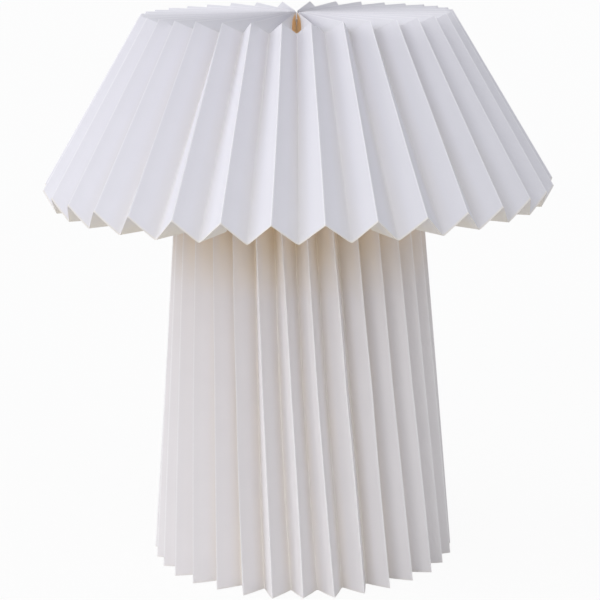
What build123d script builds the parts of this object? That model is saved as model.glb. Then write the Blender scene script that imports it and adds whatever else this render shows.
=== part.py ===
from build123d import *
from math import atan2, cos, pi, radians, sin, sqrt
import os

os.makedirs("parts", exist_ok=True)

# A table lamp in pleated white paper: a gathered shade laid on a wire carrier, over a
# pleated sleeve that hides the stem. Millimetres, +Z up, the front towards -Y, and the
# origin on the table under the lamp's axis. Angles are counted from the front, seen
# from above, positive towards +X.

# ---------------------------------------------------------------- driving dimensions
# paper
paper = 0.3                     # thickness of the folded paper
# shade: outer folds are ridges, inner folds are valleys
shade_pleats = 34
shade_height = 99.0             # level ridges on top above the ridge ends at the hem
shade_hem_radius = 150.0        # ridge ends at the hem
shade_hem_height = 227.5
hem_fold_inset = 6.0            # valley tips lie inside and below the ridge ends
hem_fold_drop = 11.5
turn_in_width = 40.0            # paper folded in under the hem, level with it
turn_in_rise = 1.5              # its inner edge above the ridge ends
turn_in_fold = 14.0             # its fold depth at the inner edge
shoulder_radius = 90.5          # ridge corners at the shoulder
shoulder_fold_inset = 11.5
shoulder_fold_drop = 7.0
gather_radius = 6.0             # where the folds meet round the thread
gather_fold_drop = 13.5
seam_gap_half = 2.6             # widest half opening of the seam on top
seam_gap_radius = 66.0
seam_gap_mid_half = 1.9
seam_gap_mid_radius = 28.0
seam_gap_end_half = 0.2
seam_end_drop = 1.6             # the seam's edges below the ridges where the folds meet
thread_radius = 0.5
thread_drop = 5.0               # thread below the ridges

# sleeve of the base
sleeve_pleats = 32
sleeve_hem_radius = 91.0        # ridges at the table
sleeve_hem_height = 0.5
sleeve_hem_fold = 15.0          # fold depth at the table
sleeve_top_radius = 71.8        # ridges at the hidden upper edge
sleeve_cover = 10.5             # upper edge above the ridge ends of the shade's hem
sleeve_top_fold = 16.0
sleeve_twist = -8.8             # degrees that the folds turn on their way up
cord_notch_half_width = 5.0     # notch in the rear of the hem
cord_notch_height = 7.5

# foot
pad_height = 2.5
pad_radius = 8.0
pad_count = 4
pad_inset = 14.0                # pad centre inside the plate's edge
plate_thickness = 6.0
plate_edge = 0.75               # chamfer round the plate's upper edge
nut_recess_radius = 11.0
nut_recess_depth = 4.0
cord_groove_width = 7.0
cord_groove_depth = 4.0
bush_radius = 5.5
bush_flange_radius = 7.5
bush_flange_height = 1.5
bush_bore_radius = 3.25
bush_gap = 4.5                  # bush flange behind the terminal block

# stem, a threaded tube
stem_radius = 5.0
stem_bore_radius = 3.75
stem_slot_width = 6.6           # side slot for the leads
stem_slot_bottom = 19.0
stem_slot_top = 36.0
nut_across_flats = 14.0
nut_height = 3.0
washer_radius = 9.0
washer_height = 1.0

# wire frames
frame_wire = 1.5                # radius of the ring and upright wires
upright_count = 4
upright_turn = 45.0
upper_ring_drop = 5.0           # upper ring below the sleeve's upper edge
spoke_count = 3
spoke_turn = 60.0
spoke_wire = 1.25
spider_eye_height = 1.5
spider_drop = 12.0              # underside of the eye below the lamp holder
carrier_wire = 1.5
carrier_inset = 2.5             # shoulder ring inside the valley corners
arm_count = 3
arm_wire = 1.25
arm_reach = 9.0                 # level run of an arm before it rises
arm_bend_radius = 7.0
fitter_outer_radius = 22.0
fitter_height = 1.5

# lamp holder, small screw size
seat_drop = 11.5                # the fitter ring's seat below the ridge ends of the hem
holder_radius = 13.0            # outside thread of the upper shell
holder_wall = 2.2
holder_rim = 20.0               # rim above the seat
holder_flange_radius = 17.0
holder_flange_height = 2.0
shell_skirt = 10.0              # upper shell below the seat
cap_height = 14.0
cap_radius = 13.5
cap_floor = 2.5
boss_radius = 7.5
boss_height = 8.0
stem_engagement = 8.0
insert_floor = 5.0              # contact floor below the seat
insert_base = 12.0              # underside of the insert below the contact floor
insert_rim_drop = 3.0           # insert below the shell's rim
sleeve_thread_radius = 7.1      # inside of the brass sleeve
sleeve_thread_wall = 0.4
tongue_width = 4.0
tongue_thickness = 0.4
tongue_rise = 1.8
tongue_crown = 3.0              # level top under the bulb's contact
terminal_pitch = 12.0
terminal_width = 5.0
terminal_depth = 7.0
terminal_height = 6.0
screw_radius = 1.5
screw_head_radius = 1.9
screw_head_height = 1.2
screw_slot_width = 0.5
collar_radius = 15.6
collar_height = 9.0
collar_flange_radius = 17.2
collar_flange_height = 2.0
collar_flutes = 24
collar_flute_radius = 0.7
collar_washer_height = 0.8

# bulb, golf ball shape
globe_radius = 22.5
glass_wall = 0.9
neck_radius = 6.3
neck_flare_radius = 14.0        # concave blend between neck and globe
neck_rise = 1.2                 # straight neck above the cap
neck_depth = 3.2                # neck inside the cap
bulb_cap_radius = 6.9
bulb_cap_wall = 0.4
bulb_cap_height = 19.0
bulb_button_radius = 2.4
bulb_button_height = 1.5
bulb_button_edge = 0.5
bulb_insulator_height = 3.5
bulb_stem_radius = 3.2
bulb_stem_height = 22.0
filament_count = 4
filament_radius = 0.7
filament_height = 20.0

# wiring inside the base
block_length = 20.0
block_depth = 16.0
block_height = 12.0
block_distance = 28.0           # block centre behind the lamp's axis
lead_radius = 1.1
lead_gap = 0.5                  # between the two leads in the stem
lead_spread = 7.0               # between the leads at the terminal block
lead_bend_radius = 10.0
lead_climb = 15.0               # from the block's height to the middle of the stem's slot
lead_end_radius = 2.5

# clearances
turn_gap = 0.08                 # running fit of a turning piece
rest_gap = 0.3                  # paper over the wire that carries it
slip_gap = 0.2                  # fixed pieces that slip together
push_gap = 0.05                 # threads and contacts that are closed up


# ---------------------------------------------------------------- small helpers
standing = (Align.CENTER, Align.CENTER, Align.MIN)


def at(radius, height, angle):
    """Point at a radius and height, at an angle in degrees from the front."""
    return Vector(radius * sin(radians(angle)), -radius * cos(radians(angle)), height)


def disc(radius, bottom, top):
    return Pos(0, 0, bottom) * Cylinder(radius, top - bottom, align=standing)


def ring(outer, inner, bottom, top):
    return disc(outer, bottom, top) - disc(inner, bottom - 1, top + 1)


def block(width, depth, bottom, top, x=0.0, y=0.0):
    return Pos(x, y, bottom) * Box(width, depth, top - bottom, align=standing)


def wire_ring(radius, wire, height):
    return Pos(0, 0, height) * Torus(radius, wire)


def rod(start, end, wire):
    return extrude(Plane(origin=start, z_dir=end - start) * Circle(wire), (end - start).length)


def bent_rod(points, radii, wire):
    path = FilletPolyline(*points, radius=radii)
    return sweep(Plane(origin=path @ 0, z_dir=path % 0) * Circle(wire), path=path)


def around(shape, count, first=0.0):
    return [Rot(0, 0, first + i * 360 / count) * shape for i in range(count)]


def hex_nut(bottom):
    hexagon = RegularPolygon(nut_across_flats / 2, 6, major_radius=False)
    body = Pos(0, 0, bottom) * extrude(hexagon, nut_height)
    return body - disc(stem_radius + push_gap, bottom - 1, bottom + nut_height + 1)


def washer(bottom):
    return ring(washer_radius, stem_radius + push_gap, bottom, bottom + washer_height)


# ---------------------------------------------------------------- folded paper
def cross_normal(ridge_a, ridge_b, valley_a, valley_b):
    """Unit normal on the outer side of the panel between a ridge and the valley next to it."""
    return (valley_b - ridge_a).cross(ridge_b - valley_a).normalized()


def shifted_crease(crease, angle, normals, distance):
    """A crease moved inside its own upright plane until it lies on the shifted panels."""
    radial = at(1, 0, angle)
    moved = []
    for i, (radius, height) in enumerate(crease):
        last = len(crease) - 1
        if 0 < i < last:
            rows = [(n.dot(radial), n.Z, distance) for n in normals[i - 1:i + 1]]
        else:
            n = normals[0] if i == 0 else normals[-1]
            a, b = (crease[0], crease[1]) if i == 0 else (crease[-2], crease[-1])
            rows = [(n.dot(radial), n.Z, distance), (b[0] - a[0], b[1] - a[1], 0.0)]
        (a1, b1, c1), (a2, b2, c2) = rows
        det = a1 * b2 - a2 * b1
        moved.append((radius + (c1 * b2 - c2 * b1) / det, height + (a1 * c2 - a2 * c1) / det))
    return moved


def strip(line_a, line_b):
    """Triangles that fill the space between two lines of points."""
    def shares(line):
        lengths = [(q - p).length for p, q in zip(line, line[1:])]
        return [sum(lengths[:i]) / sum(lengths) for i in range(len(line))]

    share_a, share_b = shares(line_a), shares(line_b)
    i = j = 0
    faces = []
    while i < len(line_a) - 1 or j < len(line_b) - 1:
        step_a = j == len(line_b) - 1 or (i < len(line_a) - 1 and share_a[i + 1] <= share_b[j + 1])
        third = line_a[i + 1] if step_a else line_b[j + 1]
        faces.append(Face(Wire.make_polygon([line_a[i], line_b[j], third], close=True)))
        i, j = (i + 1, j) if step_a else (i, j + 1)
    return faces


def pleated_sheet(ridge, valley, pleats, open_valley=None, twist=0.0):
    """Closed solid of a sheet folded round the axis, with a valley at the front.

    ridge and valley are lists of (radius, height), from the lower edge to the upper one:
    the crest line on the outer side, and the valley line on the inner side. open_valley
    gives the two edges that replace the last stretch of the front valley, as (radius,
    height, half gap). twist turns each corner by its share of the rows, in degrees.
    """
    step = 180 / pleats
    crest = [at(r, z, 0) for r, z in ridge]
    trough = [at(r, z, step) for r, z in valley]
    normals = [
        cross_normal(crest[i], crest[i + 1], trough[i], trough[i + 1]) for i in range(len(ridge) - 1)
    ]
    ridge_under = shifted_crease(ridge, 0, normals, -paper)
    valley_over = shifted_crease(valley, step, normals, paper)

    def fold_line(points, angle):
        return [at(r, z, angle + twist * i / (len(points) - 1)) for i, (r, z) in enumerate(points)]

    def edge_line(points, side):
        return [Vector(side * half, -r, z) for r, z, half in points]

    faces = []
    for k in range(2 * pleats):
        side = 1 if k % 2 == 0 else -1
        valley_angle = (k + (0 if side == 1 else 1)) * step
        ridge_angle = valley_angle + side * step
        out_ridge, in_ridge = fold_line(ridge, ridge_angle), fold_line(ridge_under, ridge_angle)
        out_valley, in_valley = fold_line(valley_over, valley_angle), fold_line(valley, valley_angle)
        stretches = len(ridge) - 1
        at_seam = open_valley is not None and k in (0, 2 * pleats - 1)
        for s in range(stretches):
            out_b, in_b = out_valley[s:s + 2], in_valley[s:s + 2]
            if at_seam and s == stretches - 1:
                height = valley_over[s][1] - valley[s][1]
                under = edge_line(open_valley, side)
                in_b = [in_b[0]] + under
                out_b = [out_b[0]] + [p + Vector(0, 0, height) for p in under]
                faces += strip(out_b, in_b)
            faces += strip(out_ridge[s:s + 2], out_b)
            faces += strip(in_ridge[s:s + 2], in_b)
        faces += strip([out_ridge[0], out_valley[0]], [in_ridge[0], in_valley[0]])
        faces += strip([out_ridge[-1], out_b[-1]], [in_ridge[-1], in_b[-1]])
    return Solid(Shell(faces))


def on_line(a, b, height):
    """Radius of the line through two (radius, height) points at a height."""
    return a[0] + (b[0] - a[0]) * (height - a[1]) / (b[1] - a[1])


# ---------------------------------------------------------------- shade
shade_top = shade_hem_height + shade_height
shade_mouth_radius = shade_hem_radius - turn_in_width
mouth_ridge_height = shade_hem_height + turn_in_rise
shoulder_valley = (shoulder_radius - shoulder_fold_inset, shade_top - shoulder_fold_drop)
gather_valley = (gather_radius, shade_top - gather_fold_drop)
shade_ridge = [
    (shade_mouth_radius, mouth_ridge_height),
    (shade_hem_radius, shade_hem_height),
    (shoulder_radius, shade_top),
    (gather_radius, shade_top),
]
shade_valley = [
    (shade_mouth_radius, mouth_ridge_height - turn_in_fold),
    (shade_hem_radius - hem_fold_inset, shade_hem_height - hem_fold_drop),
    shoulder_valley,
    gather_valley,
]


def shade_trough(radius):
    """Height of the line under the valley folds on top."""
    (r1, z1), (r2, z2) = shoulder_valley, gather_valley
    return z1 + (z2 - z1) * (radius - r1) / (r2 - r1)


def shade_paper():
    start = shoulder_valley
    end = (gather_radius, shade_top - seam_end_drop)
    slope = (end[1] - start[1]) / (end[0] - start[0])
    gaps = [
        (seam_gap_radius, seam_gap_half),
        (seam_gap_mid_radius, seam_gap_mid_half),
        (gather_radius, seam_gap_end_half),
    ]
    edges = [(r, start[1] + slope * (r - start[0]), half) for r, half in gaps]
    return pleated_sheet(shade_ridge, shade_valley, shade_pleats, edges)


def gather_thread():
    loop_radius = gather_radius - thread_radius - push_gap
    return wire_ring(loop_radius, thread_radius, shade_top - thread_drop)


# ---------------------------------------------------------------- sleeve of the base
sleeve_top_height = shade_hem_height + sleeve_cover
sleeve_ridge = [(sleeve_hem_radius, sleeve_hem_height), (sleeve_top_radius, sleeve_top_height)]
sleeve_valley = [
    (sleeve_hem_radius - sleeve_hem_fold, sleeve_hem_height),
    (sleeve_top_radius - sleeve_top_fold, sleeve_top_height),
]


def inside_sleeve(height):
    """Radius of the line under the sleeve's valley folds."""
    return on_line(*sleeve_valley, height)


def base_paper():
    half_step = 180 / sleeve_pleats
    folds = pleated_sheet(sleeve_ridge, sleeve_valley, sleeve_pleats, twist=sleeve_twist)
    sleeve = Rot(0, 0, half_step) * folds
    depth = 2 * sleeve_hem_fold
    middle = sleeve_hem_radius + 1 - depth / 2
    return sleeve - block(2 * cord_notch_half_width, depth, -1, cord_notch_height, y=middle)


# ---------------------------------------------------------------- foot
plate_bottom = pad_height
plate_top = plate_bottom + plate_thickness
plate_radius = inside_sleeve(plate_top) - rest_gap
recess_top = plate_bottom + nut_recess_depth
bush_distance = block_distance + block_depth / 2 + bush_gap + bush_flange_radius


def foot_plate():
    plate = disc(plate_radius, plate_bottom, plate_top)
    plate -= disc(nut_recess_radius, plate_bottom - 1, recess_top)
    plate -= disc(stem_radius + push_gap, plate_bottom - 1, plate_top + 1)
    groove_length = plate_radius - bush_distance + 1
    plate -= block(
        cord_groove_width, groove_length, plate_bottom - 1, plate_bottom + cord_groove_depth,
        y=bush_distance + groove_length / 2,
    )
    plate -= Pos(0, bush_distance, 0) * disc(bush_radius + push_gap, plate_bottom - 1, plate_top + 1)
    top_edges = plate.edges().filter_by(GeomType.CIRCLE).sort_by(SortBy.RADIUS)[-2:]
    return chamfer(top_edges.sort_by(Axis.Z)[-1:], plate_edge)


def foot_pads():
    pad = Pos(0, -(plate_radius - pad_inset), 0) * disc(pad_radius, 0, pad_height)
    return around(pad, pad_count, 180 / pad_count)


def cord_bush():
    body = disc(bush_radius, plate_bottom + cord_groove_depth, plate_top)
    body += disc(bush_flange_radius, plate_top, plate_top + bush_flange_height)
    body -= disc(bush_bore_radius, 0, plate_top + bush_flange_height + 1)
    return Pos(0, bush_distance, 0) * body


# ---------------------------------------------------------------- stem and its fasteners
seat_height = shade_hem_height - seat_drop
cap_top = seat_height - shell_skirt
cap_bottom = cap_top - cap_height
boss_bottom = cap_bottom - boss_height
stem_bottom = recess_top - nut_height
stem_top = boss_bottom + stem_engagement
lower_nut = recess_top - nut_height
upper_nut = plate_top + washer_height
spider_height = boss_bottom - spider_drop
spider_top = spider_height + spider_eye_height


def stem_tube():
    tube = ring(stem_radius, stem_bore_radius, stem_bottom, stem_top)
    return tube - block(stem_slot_width, 2 * stem_radius, stem_slot_bottom, stem_slot_top, y=stem_radius)


def stem_nuts():
    return [hex_nut(z) for z in (lower_nut, upper_nut, spider_height - nut_height, spider_top)]


def stem_washers():
    return [washer(plate_top)]


# ---------------------------------------------------------------- wire frame of the base
lower_ring_height = plate_top + frame_wire
lower_ring_radius = inside_sleeve(lower_ring_height) - rest_gap - 2 * frame_wire
upper_ring_height = sleeve_top_height - upper_ring_drop
upper_ring_radius = inside_sleeve(upper_ring_height) - rest_gap - frame_wire


def lower_ring():
    return wire_ring(lower_ring_radius, frame_wire, lower_ring_height)


def upper_ring():
    return wire_ring(upper_ring_radius, frame_wire, upper_ring_height)


def frame_uprights():
    foot = at(lower_ring_radius, lower_ring_height, 0)
    head = at(upper_ring_radius, upper_ring_height, 0)
    upright = rod(foot, head, frame_wire) - lower_ring() - upper_ring()
    upright = upright.solids().sort_by(SortBy.VOLUME)[-1]
    return around(upright, upright_count, upright_turn)


def frame_spider():
    eye = ring(washer_radius, stem_radius + push_gap, spider_height, spider_top)
    inner_end = at(washer_radius - spoke_wire, (spider_height + spider_top) / 2, 0)
    outer_end = at(upper_ring_radius, upper_ring_height, 0)
    nut_corner = nut_across_flats / sqrt(3)
    nut_room = disc(nut_corner + push_gap, spider_height - nut_height, spider_top + nut_height)
    spoke = rod(inner_end, outer_end, spoke_wire) - upper_ring() - nut_room
    spoke = spoke.solids().sort_by(SortBy.VOLUME)[-1]
    spider = eye
    for arm in around(spoke, spoke_count, spoke_turn):
        spider += arm
    return spider


# ---------------------------------------------------------------- shade carrier
fitter_top = seat_height + fitter_height
carrier_radius = shoulder_valley[0] - carrier_inset
carrier_height = shade_trough(carrier_radius) - rest_gap - carrier_wire


def carrier_ring():
    return wire_ring(carrier_radius, carrier_wire, carrier_height)


def fitter_ring():
    return ring(fitter_outer_radius, holder_radius + slip_gap, seat_height, fitter_top)


def carrier_arms():
    start = at(fitter_outer_radius - 2 * arm_wire, fitter_top + arm_wire, 0)
    corner = at(fitter_outer_radius + arm_reach, fitter_top + arm_wire, 0)
    end = at(carrier_radius, carrier_height, 0)
    arm = bent_rod([start, corner, end], arm_bend_radius, arm_wire) - carrier_ring()
    arm = arm.solids().sort_by(SortBy.VOLUME)[-1]
    return around(arm, arm_count)


# ---------------------------------------------------------------- lamp holder
contact_floor = seat_height - insert_floor
insert_radius = holder_radius - holder_wall - slip_gap
insert_top = seat_height + holder_rim - insert_rim_drop
insert_bottom = contact_floor - insert_base
tube_outer_radius = sleeve_thread_radius + sleeve_thread_wall
tube_top = insert_top - sleeve_thread_wall


def holder_shell():
    shell = ring(holder_radius, holder_radius - holder_wall, cap_top, seat_height + holder_rim)
    shell += ring(
        holder_flange_radius, holder_radius - holder_wall, seat_height - holder_flange_height, seat_height
    )
    return shell


def holder_cap():
    cap = disc(cap_radius, cap_bottom, cap_top) + disc(boss_radius, boss_bottom, cap_bottom)
    cap -= disc(insert_radius + slip_gap, cap_bottom + cap_floor, cap_top + 1)
    cap -= disc(stem_radius + push_gap, boss_bottom - 1, cap_bottom + cap_floor + 1)
    return cap


def holder_insert():
    body = disc(insert_radius, insert_bottom, insert_top)
    body -= disc(tube_outer_radius + push_gap, contact_floor, insert_top + 1)
    for x in (-terminal_pitch / 2, terminal_pitch / 2):
        body -= block(
            terminal_width + 2 * push_gap, terminal_depth + 2 * push_gap, insert_bottom - 1,
            insert_bottom + terminal_height + push_gap, x=x,
        )
        body -= Pos(x, 0, insert_bottom + terminal_height / 2) * Rot(90, 0, 0) * disc(
            screw_head_radius + slip_gap, 0, 2 * insert_radius
        )
    return body


def thread_sleeve():
    return ring(tube_outer_radius, sleeve_thread_radius, contact_floor, tube_top)


def contact_tongue():
    half = sleeve_thread_radius - 1
    crown = tongue_crown / 2
    under = tongue_rise - tongue_thickness
    profile = Polyline(
        (-half, 0), (-half / 2, 0), (-crown, under), (crown, under), (half / 2, under / 2),
        (half / 2, under / 2 + tongue_thickness), (crown, tongue_rise), (-crown, tongue_rise),
        (-half / 2, tongue_thickness), (-half, tongue_thickness), close=True,
    )
    strip_face = make_face(Plane.XZ * profile)
    return Pos(0, 0, contact_floor) * extrude(strip_face, tongue_width / 2, both=True)


def terminals():
    blocks = []
    for x in (-terminal_pitch / 2, terminal_pitch / 2):
        body = block(terminal_width, terminal_depth, insert_bottom, insert_bottom + terminal_height, x=x)
        lead_end = insert_bottom + terminal_height - 1
        body -= Pos(x, 0, 0) * disc(lead_radius + push_gap, insert_bottom - 1, lead_end)
        body -= Pos(x, 0, insert_bottom + terminal_height / 2) * Rot(90, 0, 0) * disc(
            screw_radius + push_gap, lead_radius, terminal_depth
        )
        blocks.append(body)
    return blocks


def screw(length):
    """Slotted screw along -Y, its head's underside at the origin."""
    body = disc(screw_radius, -length, 0) + disc(screw_head_radius, 0, screw_head_height)
    slot = Box(4 * screw_head_radius, screw_head_height, screw_slot_width)
    return Rot(90, 0, 0) * body - Pos(0, -screw_head_height, 0) * slot


def terminal_screws():
    head = -terminal_depth / 2
    length = terminal_depth / 2 - lead_radius - push_gap
    return [
        Pos(x, head, insert_bottom + terminal_height / 2) * screw(length)
        for x in (-terminal_pitch / 2, terminal_pitch / 2)
    ]


def collar_washer():
    bottom = fitter_top + push_gap
    return ring(collar_flange_radius, holder_radius + turn_gap, bottom, bottom + collar_washer_height)


def collar():
    bottom = fitter_top + collar_washer_height + 2 * push_gap
    flange_top = bottom + collar_flange_height
    body = ring(collar_radius, holder_radius + turn_gap, bottom, bottom + collar_height)
    body += ring(collar_flange_radius, holder_radius + turn_gap, bottom, flange_top)
    flute = Pos(0, -collar_radius, 0) * disc(collar_flute_radius, flange_top, bottom + collar_height + 1)
    return body - around(flute, collar_flutes)


# ---------------------------------------------------------------- bulb
button_bottom = contact_floor + tongue_rise + push_gap
button_top = button_bottom + bulb_button_height
bulb_cap_bottom = button_top + bulb_insulator_height
bulb_cap_top = bulb_cap_bottom + bulb_cap_height
neck_start = bulb_cap_top - neck_depth
globe_blend = neck_radius + neck_flare_radius
globe_rise = sqrt((globe_radius + neck_flare_radius) ** 2 - globe_blend ** 2)
globe_height = bulb_cap_top + neck_rise + globe_rise


def bulb_outline(globe, neck, flare):
    """Half outline of the glass: neck, concave blend, globe, back down the axis."""
    blend_x = neck + flare
    rise = sqrt((globe + flare) ** 2 - blend_x ** 2)
    blend_z = globe_height - rise
    touch = globe / (globe + flare)
    touch_point = (blend_x * touch, globe_height - rise * touch)
    middle = (atan2(rise, -blend_x) + pi) / 2
    bend_point = (blend_x + flare * cos(middle), blend_z + flare * sin(middle))
    outline = [
        Line((0, neck_start), (neck, neck_start)),
        Line((neck, neck_start), (neck, blend_z)),
        ThreePointArc((neck, blend_z), bend_point, touch_point),
        ThreePointArc(touch_point, (globe, globe_height), (0, globe_height + globe)),
        Line((0, globe_height + globe), (0, neck_start)),
    ]
    return revolve(Plane.XZ * make_face(outline), Axis.Z)


def bulb_glass():
    outer = bulb_outline(globe_radius, neck_radius, neck_flare_radius)
    return outer - bulb_outline(
        globe_radius - glass_wall, neck_radius - glass_wall, neck_flare_radius + glass_wall
    )


def bulb_cap():
    shell = disc(bulb_cap_radius, bulb_cap_bottom, bulb_cap_top)
    inside = disc(bulb_cap_radius - bulb_cap_wall, bulb_cap_bottom + bulb_cap_wall, bulb_cap_top + 1)
    neck_hole = disc(bulb_cap_radius / 2, bulb_cap_bottom - 1, bulb_cap_top)
    return shell - inside - neck_hole


def bulb_insulator():
    wide = bulb_cap_radius - bulb_cap_wall
    return Pos(0, 0, button_top) * Cone(bulb_button_radius, wide, bulb_insulator_height, align=standing)


def bulb_contact():
    button = disc(bulb_button_radius, button_bottom, button_top)
    return fillet(button.edges().sort_by(Axis.Z)[:1], bulb_button_edge)


def bulb_stem():
    return disc(bulb_stem_radius, bulb_cap_bottom + bulb_cap_wall, neck_start + bulb_stem_height)


def filaments():
    foot = neck_start + bulb_stem_height
    wire = disc(filament_radius, foot, foot + filament_height)
    wire = Pos(0, filament_radius - bulb_stem_radius, 0) * wire
    return around(wire, filament_count, 180 / filament_count)


# ---------------------------------------------------------------- leads in the base
def terminal_block():
    body = block(block_length, block_depth, plate_top, plate_top + block_height, y=block_distance)
    middle = plate_top + block_height / 2
    for side in (-1, 1):
        x = side * lead_spread / 2
        hole = disc(lead_radius + push_gap, block_distance - block_depth, block_distance + block_depth)
        body -= Pos(x, 0, middle) * Rot(-90, 0, 0) * hole
        body -= Pos(x, block_distance, 0) * disc(screw_head_radius, middle, plate_top + block_height + 1)
    return body


def block_screws():
    bottom = plate_top + block_height / 2 + lead_radius + push_gap
    head_top = plate_top + block_height
    head_bottom = head_top - screw_head_height
    body = disc(screw_radius, bottom, head_bottom)
    body += disc(screw_head_radius - push_gap, head_bottom, head_top)
    return [Pos(side * lead_spread / 2, block_distance, 0) * body for side in (-1, 1)]


def lead(side):
    block_x = side * lead_spread / 2
    stem_x = side * (lead_radius + lead_gap / 2)
    terminal_x = side * terminal_pitch / 2
    start_height = plate_top + block_height / 2
    route = [
        (block_x, block_distance, start_height),
        (block_x, block_distance - block_depth / 2 - lead_bend_radius / 2, start_height),
        (stem_x, 0, start_height + lead_climb),
        (stem_x, 0, stem_top),
        (terminal_x, 0, insert_bottom - lead_radius),
        (terminal_x, 0, insert_bottom + terminal_height / 2),
    ]
    radii = [lead_bend_radius, lead_bend_radius, lead_end_radius, lead_end_radius]
    return bent_rod(route, radii, lead_radius)


pieces = {
    "shade_paper": shade_paper(),
    "gather_thread": gather_thread(),
    "carrier_ring": carrier_ring(),
    "carrier_arms": carrier_arms(),
    "fitter_ring": fitter_ring(),
    "collar": collar(),
    "collar_washer": collar_washer(),
    "holder_shell": holder_shell(),
    "holder_cap": holder_cap(),
    "holder_insert": holder_insert(),
    "thread_sleeve": thread_sleeve(),
    "contact_tongue": contact_tongue(),
    "terminals": terminals(),
    "terminal_screws": terminal_screws(),
    "bulb_glass": bulb_glass(),
    "bulb_cap": bulb_cap(),
    "bulb_insulator": bulb_insulator(),
    "bulb_contact": bulb_contact(),
    "bulb_stem": bulb_stem(),
    "filaments": filaments(),
    "base_paper": base_paper(),
    "lower_ring": lower_ring(),
    "upper_ring": upper_ring(),
    "frame_uprights": frame_uprights(),
    "frame_spider": frame_spider(),
    "stem_tube": stem_tube(),
    "stem_nuts": stem_nuts(),
    "stem_washers": stem_washers(),
    "foot_plate": foot_plate(),
    "foot_pads": foot_pads(),
    "cord_bush": cord_bush(),
    "terminal_block": terminal_block(),
    "block_screws": block_screws(),
    "live_lead": lead(1),
    "neutral_lead": lead(-1),
}

for name, shape in pieces.items():
    solid = Compound(shape) if isinstance(shape, list) else shape
    export_step(solid, f"parts/{name}.step")
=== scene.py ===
import math

import bmesh
import bpy
from mathutils import Matrix, Vector


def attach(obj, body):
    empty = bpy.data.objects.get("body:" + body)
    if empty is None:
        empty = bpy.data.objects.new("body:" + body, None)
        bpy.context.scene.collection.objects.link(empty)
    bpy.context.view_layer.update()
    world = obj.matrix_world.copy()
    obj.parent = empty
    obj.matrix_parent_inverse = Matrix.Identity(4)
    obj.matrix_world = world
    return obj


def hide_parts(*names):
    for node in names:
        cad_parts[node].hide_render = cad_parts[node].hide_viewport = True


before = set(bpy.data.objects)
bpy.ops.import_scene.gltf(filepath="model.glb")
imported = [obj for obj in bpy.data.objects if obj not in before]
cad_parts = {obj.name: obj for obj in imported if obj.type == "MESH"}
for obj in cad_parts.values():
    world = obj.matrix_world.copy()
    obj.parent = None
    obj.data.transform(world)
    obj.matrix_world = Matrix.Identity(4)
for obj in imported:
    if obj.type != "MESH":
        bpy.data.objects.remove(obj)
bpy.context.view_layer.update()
scene = bpy.context.scene
mm = 0.001

# ------------------------------------------------------------------ sizes, in millimetres
paper = 0.3
shade_pleats = 34
shade_rows = {                    # ridge radius, ridge height, valley radius, valley height
    "Mouth": (110.0, 229.0, 110.0, 215.0),
    "Hem": (150.0, 227.5, 143.8, 215.6),
    "Bend": (90.5, 326.5, 79.2, 319.9),
    "End": (6.0, 326.5, 6.0, 313.6),
}
sleeve_pleats = 32
sleeve_rows = {
    "Mouth": (91.0, 0.5, 76.4, 0.5),
    "Hem": (91.0, 0.5, 76.4, 0.5),
    "Bend": (81.4, 119.2, 66.3, 119.2),
    "End": (71.8, 238.0, 56.2, 238.0),
}
sleeve_twist = math.radians(-8.8)  # of the folds on their way up
lap_panels = 0.5                  # glued overlap at the seam, in panels
lap_drop = 0.12                   # of the overlap, under the panel that covers it
notch_half_width = 5.0            # in the rear of the sleeve's hem
notch_height = 7.5
notch_cut = (60.0, 100.0)         # where the notch's cutter starts and ends, from the axis
notch_cut_below = 2.0
seam_gap_curve = [                # along the seam: share of its widest opening
    (0, 0), (0.42, 0), (0.49, 0.12), (0.54, 0.75), (0.61, 1.0), (0.75, 0.93), (0.85, 0.8),
    (0.935, 0.45), (1, 0.1),
]
crease_angle = math.radians(40)   # a sharper bend than this is a crease
thread_loop_radius = 5.45         # of the thread that gathers the folds
thread_height = 321.5
thread_radius = 0.5
strand_count = 3
strand_twists = 14
strand_share = 0.54               # a strand's radius, of the thread's
bulb_cap_radius = 6.9
bulb_cap_bottom = 217.85
bulb_cap_top = 236.85
bulb_cap_wall = 0.4
bulb_cap_round = 0.9              # rounding at the bottom of the cap
small_screw_pitch = 2.822
bulb_thread_depth = 0.5
bulb_thread_run_out = 1.5         # length over which the thread fades in and out
bulb_thread_end = 2.5             # plain rim above the thread
stem_pitch = 1.0
weld_places = {                   # how many, radius, height, first turn, size
    "carrier_ring_welds": (3, 75.7, 316.9, 0, 1.8),
    "fitter_ring_welds": (3, 21.0, 217.9, 0, 1.5),
    "lower_ring_welds": (4, 71.3, 10.7, 45, 1.8),
    "upper_ring_welds": (4, 53.8, 232.3, 45, 1.8),
}
weld_stretch = (1.0, 1.25, 0.8)   # of a bead: across, along and above its ring
weld_swell = 0.45                 # height of its lumps, of the bead's size
weld_lumps = 900.0                # lumps in a metre

row_names = ("Mouth", "Hem", "Bend", "End")
row_measures = ("ridge radius", "ridge height", "valley radius", "valley height")
rounding = 0.0005                 # margin for points that lie on a fold line or at the bend
valley_fill = 0.35                # how much of its softness a valley gives back in depth
gather_thinning = 0.9             # of the thickness, lost where the folds crowd round the thread


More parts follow.
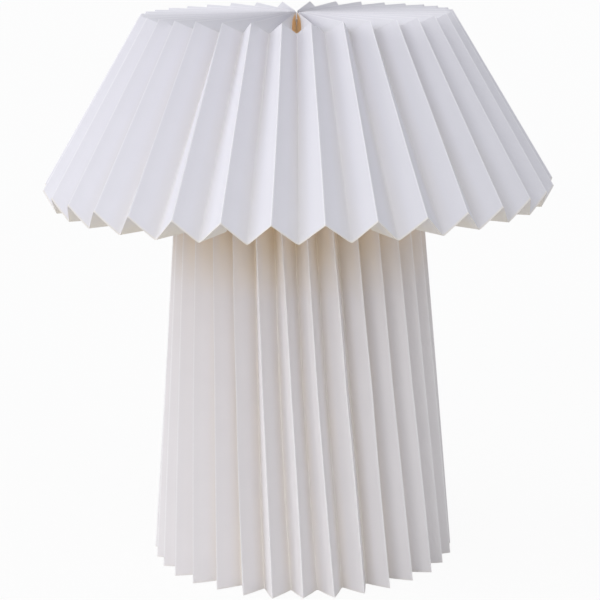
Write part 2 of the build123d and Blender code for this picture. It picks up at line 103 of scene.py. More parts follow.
# ------------------------------------------------------------------ node trees
class Value:
    """A socket of a node tree; used in an expression it adds Math nodes."""

    def __init__(self, tree, socket):
        self.tree = tree
        self.socket = socket

    def math(self, operation, *others):
        return self.tree.math(operation, self, *others)

    def __add__(self, other):
        return self.tree.math("ADD", self, other)

    def __radd__(self, other):
        return self.tree.math("ADD", other, self)

    def __sub__(self, other):
        return self.tree.math("SUBTRACT", self, other)

    def __rsub__(self, other):
        return self.tree.math("SUBTRACT", other, self)

    def __mul__(self, other):
        return self.tree.math("MULTIPLY", self, other)

    def __rmul__(self, other):
        return self.tree.math("MULTIPLY", other, self)

    def __truediv__(self, other):
        return self.tree.math("DIVIDE", self, other)

    def __gt__(self, other):
        return self.tree.math("GREATER_THAN", self, other)

    def __lt__(self, other):
        return self.tree.math("LESS_THAN", self, other)

    def eased(self):
        """A run from 0 to 1 with soft ends."""
        return self * self * (3 - 2 * self)

    def within(self, low, high):
        """0 at low, 1 at high, held outside."""
        made = self.tree.node(
            "ShaderNodeMapRange", {"clamp": True},
            {"Value": self, "From Min": low, "From Max": high},
        )
        return Value(self.tree, made.outputs[0])


class Tree:
    """Adds nodes to a shader or geometry tree."""

    def __init__(self, tree):
        self.tree = tree

    def node(self, kind, settings=None, sockets=None):
        """A node: its settings first, then the values or links of its sockets."""
        made = self.tree.nodes.new(kind)
        for name, value in (settings or {}).items():
            if name == "curve":
                line = made.mapping.curves[0]
                while len(line.points) < len(value):
                    line.points.new(0.5, 0.5)
                for point, (x, y) in zip(line.points, value):
                    point.location = (x, y)
                made.mapping.update()
            else:
                setattr(made, name, value)
        for name, value in (sockets or {}).items():
            self.feed(made.inputs[name], value)
        return made

    def feed(self, socket, value):
        """Link a value to a socket, or set the socket to a constant."""
        if isinstance(value, Value):
            value = value.socket
        if isinstance(value, bpy.types.NodeSocket):
            self.tree.links.new(value, socket)
        elif isinstance(value, tuple) and len(value) == 3 and socket.type == "RGBA":
            socket.default_value = (*value, 1.0)
        else:
            socket.default_value = value

    def math(self, operation, *values):
        made = self.node("ShaderNodeMath", {"operation": operation}, dict(enumerate(values)))
        return Value(self, made.outputs[0])

    def value(self, kind, output=0, settings=None, sockets=None):
        """One output of a new node, ready for an expression."""
        return Value(self, self.node(kind, settings, sockets).outputs[output])

    def mix(self, share, a, b):
        """Blend of two colours."""
        made = self.node(
            "ShaderNodeMix", {"data_type": "RGBA", "blend_type": "MIX"}, {0: share, 6: a, 7: b}
        )
        return made.outputs[2]

    def parts(self, vector):
        """The X, Y and Z of a vector."""
        split = self.node("ShaderNodeSeparateXYZ", None, {0: vector})
        return [Value(self, split.outputs[i]) for i in range(3)]

    def seen(self):
        """1 where a camera ray looks, straight or by way of metal or glass."""
        path = self.node("ShaderNodeLightPath")
        direct = Value(self, path.outputs["Is Camera Ray"])
        mirrored = direct.math("MAXIMUM", path.outputs["Is Glossy Ray"])
        return mirrored.math("MAXIMUM", path.outputs["Is Transmission Ray"])


def new_tree(title, counts, measures, material):
    """A geometry tree and its named inputs: counts, measures and one material."""
    group = bpy.data.node_groups.new(title, "GeometryNodeTree")
    inputs = [(name, "NodeSocketInt") for name in counts]
    inputs += [(name, "NodeSocketFloat") for name in measures]
    inputs.append((material, "NodeSocketMaterial"))
    for name, kind in inputs:
        group.interface.new_socket(name=name, in_out="INPUT", socket_type=kind)
    group.interface.new_socket(name="Geometry", in_out="OUTPUT", socket_type="NodeSocketGeometry")
    t = Tree(group)
    given = t.node("NodeGroupInput")
    return t, {name: Value(t, given.outputs[name]) for name, _ in inputs}


def close_tree(t, geometry, material):
    """Give the geometry its material and make it the tree's output."""
    done = t.node("GeometryNodeSetMaterial", None, {"Geometry": geometry, "Material": material})
    out = t.node("NodeGroupOutput")
    t.feed(out.inputs["Geometry"], done.outputs[0])


# ------------------------------------------------------------------ pleated paper
def pleat_tree():
    """Geometry tree of a sheet pleated round the upright axis, starting in a valley."""
    rows_of_sizes = [f"{row} {what}" for row in row_names for what in row_measures]
    t, ask = new_tree(
        "pleated sheet",
        ["Pleats", "Steps", "Rows", "Turned in", "Seed"],
        rows_of_sizes + [
            "Start turn", "Twist", "Thickness", "Valley softness", "Ridge softness",
            "Spacing error", "Bow", "Depth error", "Hem error", "Seam gap", "Seam rise",
        ],
        "Paper",
    )

    # the flat sheet: across counts panels, up is 0 at the hem, 1 at the bend and 2 at the end
    panels = ask["Pleats"] * 2
    columns = (panels + lap_panels) * ask["Steps"] + 1
    stretches = ask["Turned in"] + 2
    rows = ask["Rows"] * stretches + 1
    grid = t.node(
        "GeometryNodeMeshGrid", None,
        {"Size X": 1.0, "Size Y": 1.0, "Vertices X": columns, "Vertices Y": rows},
    )
    flat_x, flat_y, _ = t.parts(t.node("GeometryNodeInputPosition").outputs[0])
    across = (flat_x + 0.5) * (panels + lap_panels)
    up = (flat_y + 0.5) * stretches - ask["Turned in"]

    # fold is 0 in the valleys and 1 on the ridges
    panel = (across + rounding).math("FLOOR").math("MINIMUM", panels)
    share = (across - panel).math("MAXIMUM", 0.0).eased()
    odd = panel.math("FLOORED_MODULO", 2.0)
    fold = (odd - share).math("ABSOLUTE")
    in_lap = panel > panels - 0.5

    # each stretch of the sheet runs from 0 to 1
    under = (0 - up).math("MAXIMUM", 0.0)
    side = up.math("MINIMUM", 1.0).math("MAXIMUM", 0.0).eased()
    top = (up - 1).math("MAXIMUM", 0.0).eased()

    def along(what):
        """A measure of the rows, carried along the sheet."""
        mouth, hem, bend, end = (ask[f"{row} {what}"] for row in row_names)
        return hem + (mouth - hem) * under + (bend - hem) * side + (end - bend) * top

    def chance(line, number):
        """A random share from -1 to 1 for each fold line; the first and the last are one."""
        wrapped = line.math("FLOORED_MODULO", panels)
        return t.value(
            "FunctionNodeRandomValue", "Value", {"data_type": "FLOAT"},
            {"Min": -1.0, "Max": 1.0, "ID": wrapped, "Seed": ask["Seed"] + number},
        )

    def drift(line):
        """How far a fold line strays from its place."""
        spread = chance(line, 1) * (1 - side) + chance(line, 2) * side
        bow = chance(line, 3) * ((side * math.pi).math("SINE") + (top * math.pi).math("SINE"))
        calm = 1 - 0.9 * top      # the gather holds the folds in place
        return (spread * ask["Spacing error"] + bow * ask["Bow"]) * calm

    drift_here, drift_next = drift(panel), drift(panel + 1)
    stray = drift_here * (1 - share) + drift_next * share
    turn = ask["Start turn"] + (panel + share) * math.pi / ask["Pleats"] + stray
    turn = turn + ask["Twist"] * (side + top) * 0.5

    # opened is fold with rounded creases: 0 at the valley's depth and 1 at the ridge's
    soft = ask["Valley softness"]
    opened = ((fold * fold + soft * soft).math("SQRT") - soft * valley_fill) / (
        (soft * soft + 1).math("SQRT") - soft * valley_fill
    )
    blunt = ask["Ridge softness"]
    from_ridge = 1 - opened
    opened = 1 - (from_ridge * from_ridge + blunt * blunt).math("SQRT")
    depth = chance(panel, 4) * (1 - share) + chance(panel + 1, 4) * share
    opened = opened + depth * ask["Depth error"] * (1 - 0.8 * top)

    def between(what):
        """A measure between the valley and the ridge next to it."""
        valley = along(f"valley {what}")
        return valley + (along(f"ridge {what}") - valley) * opened

    radius = between("radius") - in_lap * (lap_drop * mm)
    ragged = chance(panel, 5) * (1 - share) + chance(panel + 1, 5) * share
    height = between("height") - in_lap * (lap_drop * mm) + ragged * ask["Hem error"] * (1 - side)

    # the seam: first and last are 1 at its two edges and fade out over a panel
    first = (1 - across).math("MAXIMUM", 0.0).eased()
    last = (across - panels + 1).math("MAXIMUM", 0.0) * (across < panels + 2 * rounding)
    last = last.eased()
    gap = t.value(
        "ShaderNodeFloatCurve", 0,
        {"curve": seam_gap_curve},
        {"Value": (side + top) * 0.5},
    )
    height = height + ask["Seam rise"] * top * (first + last)
    shift = (first - last * top.within(0.0, 0.02)) * gap * ask["Seam gap"]
    x = radius * turn.math("SINE") + shift * ask["Start turn"].math("COSINE")
    y = shift * ask["Start turn"].math("SINE") - radius * turn.math("COSINE")
    point = t.node("ShaderNodeCombineXYZ", None, {0: x, 1: y, 2: height})
    beyond = t.node(
        "GeometryNodeDeleteGeometry", {"domain": "FACE"},
        {"Geometry": grid.outputs["Mesh"], "Selection": (across > panels) * (up > 1 + rounding)},
    )

    def store(mesh, name, value, domain):
        """Keep a value on the mesh under a name, for the paper's finish."""
        kept = t.node(
            "GeometryNodeStoreNamedAttribute", {"data_type": "FLOAT", "domain": domain},
            {"Geometry": mesh, "Name": name, "Value": value},
        )
        return kept.outputs[0]

    kept = store(beyond.outputs[0], "fold", fold, "POINT")
    kept = store(kept, "rise", side + top - under, "POINT")
    moved = t.node("GeometryNodeSetPosition", None, {"Geometry": kept, "Position": point.outputs[0]})
    sheet = moved.outputs[0]

    # thickness: a second layer inside; layer is 0 outside, 0.5 on the cut edges and 1 inside
    rise = t.value(
        "GeometryNodeInputNamedAttribute", "Attribute", {"data_type": "FLOAT"}, {"Name": "rise"}
    )
    crowded = rise.within(1.0, 1.4)
    inner = t.node("GeometryNodeExtrudeMesh", {"mode": "FACES"}, {
        "Mesh": sheet, "Individual": False,
        "Offset Scale": ask["Thickness"] * (gather_thinning * crowded - 1),
    })
    layer = Value(t, inner.outputs["Top"]) + Value(t, inner.outputs["Side"]) * 0.5
    marked = store(inner.outputs["Mesh"], "layer", layer, "FACE")
    turned = t.node("GeometryNodeFlipFaces", None, {"Mesh": marked})
    outer = store(sheet, "layer", 0.0, "FACE")
    joined = t.node("GeometryNodeJoinGeometry")
    t.feed(joined.inputs[0], turned.outputs[0])
    t.feed(joined.inputs[0], outer)
    closed = t.node(
        "GeometryNodeMergeByDistance", None, {"Geometry": joined.outputs[0], "Distance": 0.001 * mm}
    )
    smooth = t.node("GeometryNodeSetShadeSmooth", None, {"Geometry": closed.outputs[0]})
    bend = Value(t, t.node("GeometryNodeInputMeshEdgeAngle").outputs["Unsigned Angle"])
    creased = t.node(
        "GeometryNodeSetShadeSmooth", {"domain": "EDGE"},
        {"Geometry": smooth.outputs[0], "Selection": bend > crease_angle, "Shade Smooth": False},
    )
    real = t.node("GeometryNodeRealizeInstances", None, {"Geometry": creased.outputs[0]})
    close_tree(t, real.outputs[0], ask["Paper"])
    return t.tree


def from_tree(name, group, sizes, cutter=None):
    """A plain mesh object made by a geometry tree with the given sizes."""
    maker = bpy.data.objects.new(f"{name} maker", bpy.data.meshes.new(f"{name} maker"))
    scene.collection.objects.link(maker)
    modifier = maker.modifiers.new("tree", "NODES")
    modifier.node_group = group
    for item in group.interface.items_tree:
        if item.item_type == "SOCKET" and item.in_out == "INPUT":
            modifier[item.identifier] = sizes[item.name]
    if cutter is not None:
        cut = maker.modifiers.new("cut", "BOOLEAN")
        cut.operation = "DIFFERENCE"
        cut.solver = "EXACT"
        cut.object = cutter
    graph = bpy.context.evaluated_depsgraph_get()
    mesh = bpy.data.meshes.new_from_object(maker.evaluated_get(graph))
    bpy.data.objects.remove(maker)
    mesh.name = name
    piece = bpy.data.objects.new(name, mesh)
    scene.collection.objects.link(piece)
    return piece


def weld_tree():
    """Geometry tree of weld beads: lumps set round the upright axis."""
    t, ask = new_tree(
        "weld beads", ["Count", "Seed"], ["Ring radius", "Ring height", "First turn", "Bead size"], "Coat"
    )
    line = t.node("GeometryNodeMeshLine", None, {"Count": ask["Count"]})
    index = Value(t, t.node("GeometryNodeInputIndex").outputs[0])
    turn = ask["First turn"] + index * (2 * math.pi) / ask["Count"]
    x, y = ask["Ring radius"] * turn.math("COSINE"), ask["Ring radius"] * turn.math("SINE")
    spot = t.node("ShaderNodeCombineXYZ", None, {0: x, 1: y, 2: ask["Ring height"]})
    spots = t.node(
        "GeometryNodeSetPosition", None, {"Geometry": line.outputs[0], "Position": spot.outputs[0]}
    )
    bead = t.node("GeometryNodeMeshIcoSphere", None, {"Radius": ask["Bead size"], "Subdivisions": 3})
    facing = t.node("ShaderNodeCombineXYZ", None, {2: turn})
    beads = t.node("GeometryNodeInstanceOnPoints", None, {
        "Points": spots.outputs[0], "Instance": bead.outputs[0],
        "Rotation": facing.outputs[0], "Scale": weld_stretch,
    })
    real = t.node("GeometryNodeRealizeInstances", None, {"Geometry": beads.outputs[0]})
    lumps = t.value(
        "ShaderNodeTexNoise", 0, {"noise_dimensions": "4D"}, {"Scale": weld_lumps, "W": ask["Seed"]}
    )
    outward = t.node("GeometryNodeInputNormal")
    swell = (lumps - 0.5) * ask["Bead size"] * weld_swell
    push = t.node("ShaderNodeVectorMath", {"operation": "SCALE"}, {0: outward.outputs[0], "Scale": swell})
    lumpy = t.node("GeometryNodeSetPosition", None, {"Geometry": real.outputs[0], "Offset": push.outputs[0]})
    smooth = t.node("GeometryNodeSetShadeSmooth", None, {"Geometry": lumpy.outputs[0]})
    close_tree(t, smooth.outputs[0], ask["Coat"])
    return t.tree


def ring_faces(columns, rings, first=0):
    """Faces of a closed band: columns of points, joined all round both ways."""
    faces = []
    for i in range(columns):
        here = first + i * rings
        beside = first + (i + 1) % columns * rings
        for j in range(rings):
            k = (j + 1) % rings
            faces.append((here + j, beside + j, beside + k, here + k))
    return faces


def lathe_mesh(name, stations, columns, material):
    """A closed shell: rings of points at (radius, height) that may depend on the turn."""
    verts = []
    for i in range(columns):
        turn = 2 * math.pi * i / columns
        for station in stations:
            radius, height = station(turn)
            verts.append((radius * mm * math.cos(turn), radius * mm * math.sin(turn), height * mm))
    return piece_from(name, verts, ring_faces(columns, len(stations)), material)


def piece_from(name, verts, faces, material):
    """A smooth-shaded object whose faces point outwards."""
    mesh = bpy.data.meshes.new(name)
    mesh.from_pydata(verts, [], faces)
    shape = bmesh.new()
    shape.from_mesh(mesh)
    bmesh.ops.recalc_face_normals(shape, faces=shape.faces)
    for face in shape.faces:
        face.smooth = True
    shape.to_mesh(mesh)
    shape.free()
    mesh.materials.append(material)
    piece = bpy.data.objects.new(name, mesh)
    scene.collection.objects.link(piece)
    return piece


def rolled_cap():
    """Screw cap of the bulb: thin metal with a rolled thread."""
    def wall(height, inset):
        def station(turn):
            from_bottom = height - bulb_cap_bottom - bulb_thread_run_out
            from_top = bulb_cap_top - bulb_thread_end - height
            run = min(from_bottom, from_top) / bulb_thread_run_out
            depth = bulb_thread_depth * max(0.0, min(1.0, run))
            wave = math.cos(2 * math.pi * height / small_screw_pitch - turn)
            return bulb_cap_radius - inset - depth * (0.5 - 0.5 * wave), height
        return station

    def fixed(radius, height):
        return lambda turn: (radius, height)

    steps, columns = 64, 72
    low, high = bulb_cap_bottom + bulb_cap_round, bulb_cap_top - 0.1
    heights = [low + (high - low) * i / steps for i in range(steps + 1)]
    hole = bulb_cap_radius / 2    # where the black glass comes through
    floor_top = bulb_cap_bottom + bulb_cap_wall
    stations = [fixed(hole, bulb_cap_bottom)]
    stations += [fixed(bulb_cap_radius - bulb_cap_round, bulb_cap_bottom)]
    stations += [fixed(bulb_cap_radius - 0.25, bulb_cap_bottom + 0.3)]
    stations += [wall(height, 0.0) for height in heights]
    stations += [fixed(bulb_cap_radius - 0.15, bulb_cap_top)]
    stations += [wall(height, bulb_cap_wall) for height in reversed(heights)]
    stations += [fixed(bulb_cap_radius - 1.0, floor_top), fixed(hole, floor_top)]
    return lathe_mesh("rolled_bulb_cap", stations, columns, bulb_nickel)


def twisted_loop():
    """Closed loop of thread: strands that wind round each other."""
    along, around = 168, 8
    strand = thread_radius * strand_share
    offset = thread_radius - strand
    verts, faces = [], []
    for number in range(strand_count):
        base = len(verts)
        for i in range(along):
            turn = 2 * math.pi * i / along
            out = Vector((math.cos(turn), math.sin(turn), 0.0))
            twist = strand_twists * turn + 2 * math.pi * number / strand_count
            middle = out * (thread_loop_radius + offset * math.cos(twist))
            middle.z = thread_height + offset * math.sin(twist)
            for j in range(around):
                angle = 2 * math.pi * j / around
                point = middle + out * strand * math.cos(angle)
                point.z += strand * math.sin(angle)
                verts.append(point * mm)
        faces += ring_faces(along, around, base)
    return piece_from("twisted_thread", verts, faces, node_finishes["gather_thread"])


def row_sizes(rows):
    """The rows' measures under the names of the tree's inputs."""
    sizes = {}
    for row, numbers in rows.items():
        for what, number in zip(row_measures, numbers):
            sizes[f"{row} {what}"] = number * mm
    return sizes


def box_mesh(name, low, high):
    """A box between two corners."""
    shape = bmesh.new()
    bmesh.ops.create_cube(shape, size=1.0)
    for v in shape.verts:
        v.co = Vector([a + (b - a) * (c + 0.5) for a, b, c in zip(low, high, v.co)]) * mm
    mesh = bpy.data.meshes.new(name)
    shape.to_mesh(mesh)
    shape.free()
    made = bpy.data.objects.new(name, mesh)
    scene.collection.objects.link(made)
    return made


# ------------------------------------------------------------------ finishes
brightest = 0.96                  # of any part of a colour that is made lighter
glow_tint = (1.0, 0.78, 0.58)  # painted glow on the shade's inner side, for light that would come through the paper
glow_strength = 0.07


def toned(colour, share):
    """A colour made darker or lighter."""
    return tuple(min(brightest, share * c) for c in colour)


def blank_material(name):
    """A new material and its empty tree."""
    material = bpy.data.materials.new(name)
    material.use_nodes = True
    material.node_tree.nodes.clear()
    return material, Tree(material.node_tree)


def finish(name):
    """A new material: its tree, its main shader and the object coordinates."""
    material, t = blank_material(name)
    shader = t.node("ShaderNodeBsdfPrincipled")
    t.node("ShaderNodeOutputMaterial", None, {"Surface": shader.outputs[0]})
    where = t.node("ShaderNodeTexCoord").outputs["Object"]
    return material, t, shader, where


def noise(t, where, size, detail=3.0, rough=0.5, stretch=None):
    """Noise with features of about the given size in millimetres."""
    if stretch is not None:
        where = t.node("ShaderNodeMapping", None, {"Vector": where, "Scale": stretch}).outputs[0]
    return t.value(
        "ShaderNodeTexNoise", 0, None,
        {"Vector": where, "Scale": 1000.0 / size, "Detail": detail, "Roughness": rough},
    )


def bump(t, shader, height, depth):
    """Relief: height runs from 0 to 1 and depth is in millimetres."""
    made = t.node("ShaderNodeBump", None, {"Height": height, "Strength": 1.0, "Distance": depth * mm})
    t.feed(shader.inputs["Normal"], made.outputs[0])


def paper_finish(name, face, valley, inner, cut, under_shade_tint, under_shade_span, gathered):
    """Matt paper with fibres showing, and painted light: warm painted shade in the valleys,
    in the deep creases of the top and in the zone under the lampshade, a painted highlight
    on the crests and a faint painted glow on the inner side.

    The span gives the rise where the painted shade under the lampshade starts and where it
    is full; gathered is 1 for the paper whose folds meet round the thread, and 0 for the other.
    """
    material, t, shader, where = finish(name)
    fold = t.value("ShaderNodeAttribute", "Fac", {"attribute_name": "fold"})
    layer = t.value("ShaderNodeAttribute", "Fac", {"attribute_name": "layer"})
    rise = t.value("ShaderNodeAttribute", "Fac", {"attribute_name": "rise"})
    fibre = noise(t, where, 0.9, 4.0, 0.65)
    cloud = noise(t, where, 22.0, 2.0, 0.5)
    # painted shade: the valleys take the valley colour, warmer than the face and, on the shade, a little
    # darker
    colour = t.mix(fold.within(0.0, 0.5), valley, face)
    # painted warm shade in the zone under the lampshade, stronger towards the valleys
    under_shade = (rise + (cloud - 0.5) * 0.1 * (rise > 1)).within(*under_shade_span)
    colour = t.mix(under_shade * (0.6 + 0.4 * (1 - fold)), colour, under_shade_tint)
    colour = t.mix(cloud.within(0.42, 0.62) * 0.3, colour, toned(face, 0.965))
    colour = t.mix(fibre.within(0.56, 0.72) * 0.2, colour, toned(face, 0.93))
    # a little darker just short of each crest
    short_of_crest = fold.within(0.7, 0.93)
    colour = t.mix(short_of_crest * 0.35, colour, toned(face, 0.93))
    # painted highlight along each crest, broken up by the fibres
    crest_highlight = fold.within(0.95, 0.985) * (0.5 + 0.5 * fibre.within(0.35, 0.6))
    colour = t.mix(crest_highlight * 0.8, colour, toned(face, 1.13))
    hem = rise.within(-0.02, 0.0) * (1 - rise.within(0.0, 0.012))
    colour = t.mix(hem * 0.7, colour, cut)
    # painted warm shade in the deep creases of the top, near the gather
    crease_shade = (1 - fold.within(0.0, 0.3)) * rise.within(1.5, 1.85) * gathered
    colour = t.mix(crease_shade * 0.8, colour, inner)
    inside = layer > 0.75
    colour = t.mix(inside, colour, inner)
    colour = t.mix((layer > 0.25) * (layer < 0.75), colour, cut)
    t.feed(shader.inputs["Base Color"], colour)
    # painted glow: the inner side of the gathered paper gives off a faint warm light
    glow = t.mix(inside * gathered, (0.0, 0.0, 0.0), glow_tint)
    t.feed(shader.inputs["Emission Color"], glow)
    shader.inputs["Emission Strength"].default_value = glow_strength
    t.feed(shader.inputs["Roughness"], 0.72 + 0.16 * fibre)
    shader.inputs["Specular IOR Level"].default_value = 0.25
    bump(t, shader, fibre * 0.7 + cloud * 0.3, 0.05)
    return material


def coat_finish(name, colour, shine=0.38):
    """Baked powder coat with its fine orange peel."""
    material, t, shader, where = finish(name)
    peel = noise(t, where, 0.7, 2.0, 0.5)
    dust = noise(t, where, 6.0, 3.0, 0.6)
    t.feed(shader.inputs["Base Color"], t.mix(dust.within(0.4, 0.7) * 0.5, colour, toned(colour, 0.93)))
    t.feed(shader.inputs["Roughness"], shine + 0.12 * peel + 0.1 * dust)
    bump(t, shader, peel, 0.03)
    return material


def moulded_finish(name, colour, shine, grain, depth):
    """Moulded plastic, rubber, nylon or porcelain: an even colour, a fine skin and a few specks."""
    material, t, shader, where = finish(name)
    skin = noise(t, where, grain, 2.0, 0.5)
    patch = noise(t, where, 9.0, 2.0, 0.5)
    speck = noise(t, where, 0.5, 1.0, 0.5)
    tone = t.mix(patch.within(0.35, 0.65), colour, toned(colour, 0.94))
    tone = t.mix((speck > 0.71) * 0.35, tone, toned(colour, 0.7))
    t.feed(shader.inputs["Base Color"], tone)
    t.feed(shader.inputs["Roughness"], shine + 0.1 * skin + 0.08 * patch)
    bump(t, shader, skin, depth)
    return material


def metal_finish(name, colour, shine, stretch, pitch=None):
    """Plated or drawn metal: streaks along its working direction, dull spots, rolled threads."""
    material, t, shader, where = finish(name)
    streak = noise(t, where, 0.8, 3.0, 0.6, stretch)
    spot = noise(t, where, 2.5, 3.0, 0.6)
    dull = toned(colour, 0.72)
    tone = t.mix(spot.within(0.5, 0.72) * 0.6, colour, dull)
    t.feed(shader.inputs["Base Color"], t.mix(streak.within(0.45, 0.75) * 0.35, tone, dull))
    shader.inputs["Metallic"].default_value = 1.0
    t.feed(shader.inputs["Roughness"], shine + 0.14 * streak + 0.16 * spot)
    relief = streak * 0.12
    if pitch is not None:
        x, y, z = t.parts(where)
        turns = z / (pitch * mm) - y.math("ARCTAN2", x) / (2 * math.pi)
        relief = relief + (turns * (2 * math.pi)).math("SINE") * 0.5
    bump(t, shader, relief, 0.06 if pitch is None else 0.25)
    return material


def glass_finish(name, colour, shine, frost):
    """Clear or etched glass."""
    material, t, shader, where = finish(name)
    etch = noise(t, where, 0.4, 2.0, 0.5)
    drift = noise(t, where, 14.0, 2.0, 0.5)
    t.feed(shader.inputs["Base Color"], t.mix(drift.within(0.35, 0.65), colour, toned(colour, 0.97)))
    shader.inputs["Transmission Weight"].default_value = 0.85
    shader.inputs["IOR"].default_value = 1.46
    t.feed(shader.inputs["Roughness"], shine + frost * etch)
    return material


def thread_finish():
    """Cotton: fine fibres along the strand and fluff."""
    material, t, shader, where = finish("cotton thread")
    fibre = noise(t, where, 0.12, 3.0, 0.6)
    soil = noise(t, where, 3.0, 2.0, 0.5)
    colour = t.mix(fibre.within(0.4, 0.7), (0.90, 0.88, 0.84), (0.74, 0.71, 0.66))
    t.feed(shader.inputs["Base Color"], t.mix(soil.within(0.5, 0.7) * 0.4, colour, (0.70, 0.66, 0.58)))
    shader.inputs["Roughness"].default_value = 0.95
    shader.inputs["Sheen Weight"].default_value = 0.3
    bump(t, shader, fibre, 0.05)
    return material


def fibre_board_finish():
    """Pressed red-brown fibre: long flecks in the plane of the washer."""
    material, t, shader, where = finish("pressed fibre")
    fleck = noise(t, where, 0.8, 4.0, 0.6, (1.0, 1.0, 3.0))
    colour = t.mix(fleck.within(0.35, 0.65), (0.36, 0.13, 0.08), (0.52, 0.24, 0.15))
    t.feed(shader.inputs["Base Color"], colour)
    t.feed(shader.inputs["Roughness"], 0.6 + 0.25 * fleck)
    bump(t, shader, fleck, 0.04)
    return material


def phosphor_finish():
    """Unlit filament: yellow phosphor in a clear gel, grainy."""
    material, t, shader, where = finish("filament phosphor")
    grain = noise(t, where, 0.25, 3.0, 0.6)
    colour = t.mix(grain.within(0.35, 0.7), (0.90, 0.66, 0.16), (0.96, 0.80, 0.34))
    t.feed(shader.inputs["Base Color"], colour)
    t.feed(shader.inputs["Roughness"], 0.35 + 0.3 * grain)
    shader.inputs["Coat Weight"].default_value = 0.4
    bump(t, shader, grain, 0.03)
    return material


# shade paper: painted shade in its valleys and top creases, and a painted warm shade on its turned-in hem
# under the lampshade
shade_white = paper_finish(
    "pleated shade paper", face=(0.84, 0.825, 0.87), valley=(0.80, 0.775, 0.78),
    inner=(0.95, 0.75, 0.48), cut=(0.90, 0.84, 0.74),
    under_shade_tint=(0.90, 0.84, 0.74), under_shade_span=(-0.005, -0.01), gathered=1,
)
# base paper: painted warm shade in its valleys and in its upper zone under the lampshade
base_white = paper_finish(
    "pleated base paper", face=(0.865, 0.835, 0.84), valley=(0.87, 0.82, 0.77),
    inner=(0.90, 0.77, 0.58), cut=(0.84, 0.80, 0.76),
    under_shade_tint=(0.98, 0.83, 0.60), under_shade_span=(1.42, 1.84), gathered=0,
)
streaks_along_x = (1.0, 8.0, 8.0)
streaks_along_y = (8.0, 1.0, 8.0)
upright_streaks = (8.0, 8.0, 1.0)
round_streaks = (1.0, 1.0, 8.0)
white_coat = coat_finish("white wire coat", (0.82, 0.82, 0.81))
bright_zinc = metal_finish("bright zinc", (0.70, 0.71, 0.73), 0.24, round_streaks)
bulb_nickel = metal_finish("nickelled bulb cap", (0.76, 0.75, 0.73), 0.18, round_streaks)
holder_white = moulded_finish("moulded holder plastic", (0.84, 0.83, 0.80), 0.22, 1.2, 0.015)
node_finishes = {
    "gather_thread": thread_finish(),
    "carrier_ring": white_coat, "carrier_arms": white_coat, "fitter_ring": white_coat,
    "lower_ring": white_coat, "upper_ring": white_coat, "frame_uprights": white_coat,
    "frame_spider": white_coat,
    "collar": holder_white, "holder_shell": holder_white, "holder_cap": holder_white,
    "collar_washer": fibre_board_finish(),
    "holder_insert": moulded_finish("holder porcelain", (0.86, 0.85, 0.81), 0.5, 0.6, 0.03),
    "thread_sleeve": metal_finish("brass sleeve", (0.78, 0.58, 0.27), 0.26, round_streaks, small_screw_pitch),
    "contact_tongue": metal_finish("brass tongue", (0.80, 0.60, 0.29), 0.22, streaks_along_x),
    "terminals": metal_finish("brass terminals", (0.74, 0.55, 0.26), 0.3, streaks_along_y),
    "terminal_screws": bright_zinc, "block_screws": bright_zinc,
    "bulb_glass": glass_finish("etched bulb glass", (0.97, 0.97, 0.95), 0.3, 0.15),
    "bulb_cap": bulb_nickel, "bulb_contact": bulb_nickel,
    "bulb_insulator": moulded_finish("bulb black glass", (0.03, 0.03, 0.035), 0.12, 1.5, 0.01),
    "bulb_stem": glass_finish("bulb stem glass", (0.96, 0.97, 0.96), 0.02, 0.04),
    "filaments": phosphor_finish(),
    "stem_tube": metal_finish("zinc plated tube", (0.66, 0.66, 0.63), 0.3, upright_streaks, stem_pitch),
    "stem_nuts": metal_finish("zinc plated nuts", (0.68, 0.67, 0.62), 0.28, round_streaks),
    "stem_washers": metal_finish("zinc plated washers", (0.69, 0.69, 0.66), 0.3, streaks_along_x),
    "foot_plate": coat_finish("foot coat", (0.80, 0.80, 0.79), 0.42),
    "foot_pads": moulded_finish("pad rubber", (0.10, 0.10, 0.10), 0.75, 0.5, 0.05),
    "cord_bush": moulded_finish("bush nylon", (0.82, 0.81, 0.77), 0.4, 0.8, 0.02),
    "terminal_block": moulded_finish("block nylon", (0.84, 0.83, 0.78), 0.38, 0.8, 0.02),
    "live_lead": moulded_finish("brown insulation", (0.26, 0.12, 0.06), 0.35, 0.9, 0.02),
    "neutral_lead": moulded_finish("blue insulation", (0.06, 0.17, 0.50), 0.35, 0.9, 0.02),
}
for node, material in node_finishes.items():
    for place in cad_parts[node].material_slots:
        place.material = material

# ------------------------------------------------------------------ camera, fitted to the photograph
photo_width = 600                 # in pixels
focal_length = 1913               # in pixels
camera_place = (0.0, -1.1192, 0.4039)
camera_dip = 12.54                # degrees below level
camera_roll = -0.72               # degrees
camera_data = bpy.data.cameras.new("camera")
camera = bpy.data.objects.new("camera", camera_data)
scene.collection.objects.link(camera)
camera_data.sensor_width = 36.0
camera_data.lens = camera_data.sensor_width * focal_length / photo_width
camera_data.clip_start, camera_data.clip_end = 0.05, 100.0
camera.matrix_world = (
    Matrix.Translation(camera_place)
    @ Matrix.Rotation(math.radians(90 - camera_dip), 4, "X")
    @ Matrix.Rotation(math.radians(camera_roll), 4, "Z")
)
scene.camera = camera

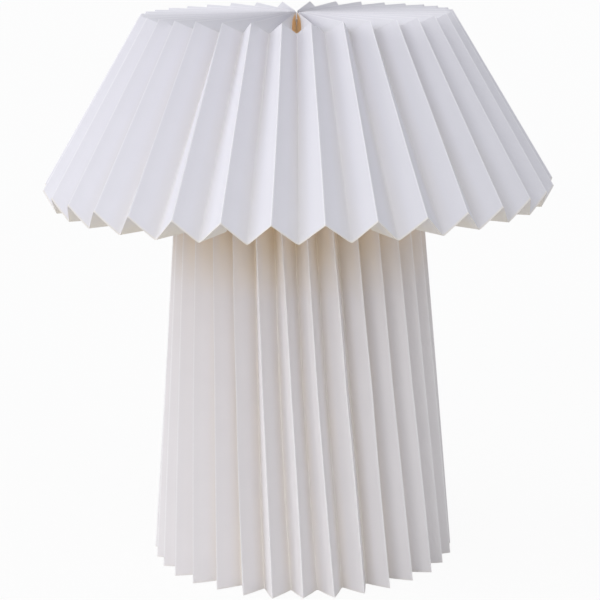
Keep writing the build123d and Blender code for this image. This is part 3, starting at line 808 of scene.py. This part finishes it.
# ------------------------------------------------------------------ shade and base
pleats = pleat_tree()
shade = from_tree("shade_folds", pleats, {
    **row_sizes(shade_rows), "Pleats": shade_pleats, "Steps": 10, "Rows": 8, "Turned in": 1,
    "Start turn": 0.0, "Twist": 0.0, "Thickness": paper * mm,
    "Valley softness": 0.07, "Ridge softness": 0.006,
    "Spacing error": math.radians(0.35), "Bow": math.radians(0.2), "Depth error": 0.03,
    "Hem error": 0.4 * mm, "Seam gap": 2.6 * mm, "Seam rise": 11.9 * mm, "Seed": 7,
    "Paper": shade_white,
})
cutter = box_mesh(
    "notch cutter",
    (-notch_half_width, notch_cut[0], -notch_cut_below), (notch_half_width, notch_cut[1], notch_height),
)
sleeve = from_tree("sleeve_folds", pleats, {
    **row_sizes(sleeve_rows), "Pleats": sleeve_pleats, "Steps": 10, "Rows": 8, "Turned in": 0,
    "Start turn": math.radians(180 + 180 / sleeve_pleats), "Twist": sleeve_twist, "Thickness": paper * mm,
    "Valley softness": 0.09, "Ridge softness": 0.012,
    "Spacing error": math.radians(0.5), "Bow": math.radians(0.35), "Depth error": 0.04,
    "Hem error": 0.3 * mm, "Seam gap": 0.25 * mm, "Seam rise": 0.0, "Seed": 3,
    "Paper": base_white,
}, cutter)
bpy.data.objects.remove(cutter)
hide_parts("shade_paper")
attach(shade, "shade")
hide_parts("base_paper")
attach(sleeve, "stand")

# ------------------------------------------------------------------ small pieces
cap = rolled_cap()
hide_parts("bulb_cap")
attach(cap, "bulb")
thread = twisted_loop()
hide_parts("gather_thread")
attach(thread, "thread_loop")
welding = weld_tree()
for seed, (name, (count, radius, height, turn, size)) in enumerate(weld_places.items()):
    welds = from_tree(name, welding, {
        "Count": count, "Ring radius": radius * mm, "Ring height": height * mm,
        "First turn": math.radians(turn), "Bead size": size * mm, "Seed": seed, "Coat": white_coat,
    })
    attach(welds, "stand")

# ------------------------------------------------------------------ floor and light
white = (1.0, 1.0, 1.0)
sky_tint = (0.95, 0.97, 1.0)
sun_tint = (0.98, 0.98, 1.0)
sky_strength_behind = 0.3
sky_strength_in_front = 0.73
floor_reach = 15.0                # metres from the lamp to the floor's edges
floor_white = 0.93                # share of plain white that the camera sees on it


def floor_finish():
    """Pale floor that turns white before the camera and keeps a little of its shadow."""
    material, t = blank_material("pale floor")
    matt = t.node("ShaderNodeBsdfPrincipled", None, {"Base Color": (0.9, 0.9, 0.9), "Roughness": 0.9})
    plain = t.node("ShaderNodeEmission", None, {"Color": white, "Strength": 1.0})
    both = t.node(
        "ShaderNodeMixShader", None,
        {0: t.seen() * floor_white, 1: matt.outputs[0], 2: plain.outputs[0]},
    )
    t.node("ShaderNodeOutputMaterial", None, {"Surface": both.outputs[0]})
    return material


def studio_world():
    """Soft light, strongest from above, the front and the left; the camera sees plain white."""
    world = bpy.data.worlds.new("studio")
    world.use_nodes = True
    world.node_tree.nodes.clear()
    t = Tree(world.node_tree)
    x, y, z = t.parts(t.node("ShaderNodeTexCoord").outputs["Generated"])
    near = z * 0.7 - y - x * 0.45
    back_light = t.node(
        "ShaderNodeBackground", None, {"Color": sky_tint, "Strength": sky_strength_behind}
    )
    front_light = t.node(
        "ShaderNodeBackground", None, {"Color": sky_tint, "Strength": sky_strength_in_front}
    )
    soft_light = t.node(
        "ShaderNodeMixShader", None,
        {0: near.within(-0.6, 0.6), 1: back_light.outputs[0], 2: front_light.outputs[0]},
    )
    backdrop = t.node("ShaderNodeBackground", None, {"Color": white, "Strength": 1.0})
    both = t.node(
        "ShaderNodeMixShader", None, {0: t.seen(), 1: soft_light.outputs[0], 2: backdrop.outputs[0]}
    )
    t.node("ShaderNodeOutputWorld", None, {"Surface": both.outputs[0]})
    return world


def sun(name, energy, spread, shining):
    """Soft directional light; spread is in degrees and shining is the way that it travels."""
    data = bpy.data.lights.new(name, "SUN")
    data.energy = energy
    data.angle = math.radians(spread)
    data.color = sun_tint
    lamp = bpy.data.objects.new(name, data)
    scene.collection.objects.link(lamp)
    lamp.rotation_euler = Vector(shining).to_track_quat("-Z", "Y").to_euler()


floor_mesh = bpy.data.meshes.new("floor")
corners = [(x * floor_reach, y * floor_reach, 0) for x, y in ((-1, -1), (1, -1), (1, 1), (-1, 1))]
floor_mesh.from_pydata(corners, [], [(0, 1, 2, 3)])
floor = bpy.data.objects.new("floor", floor_mesh)
scene.collection.objects.link(floor)
floor_mesh.materials.append(floor_finish())

scene.world = studio_world()
sun("key", energy=0.82, spread=50, shining=(0.94, 0.12, -0.30))
sun("front fill", energy=0.42, spread=22, shining=(0.42, 0.82, -0.38))
scene.view_settings.view_transform = "Standard"
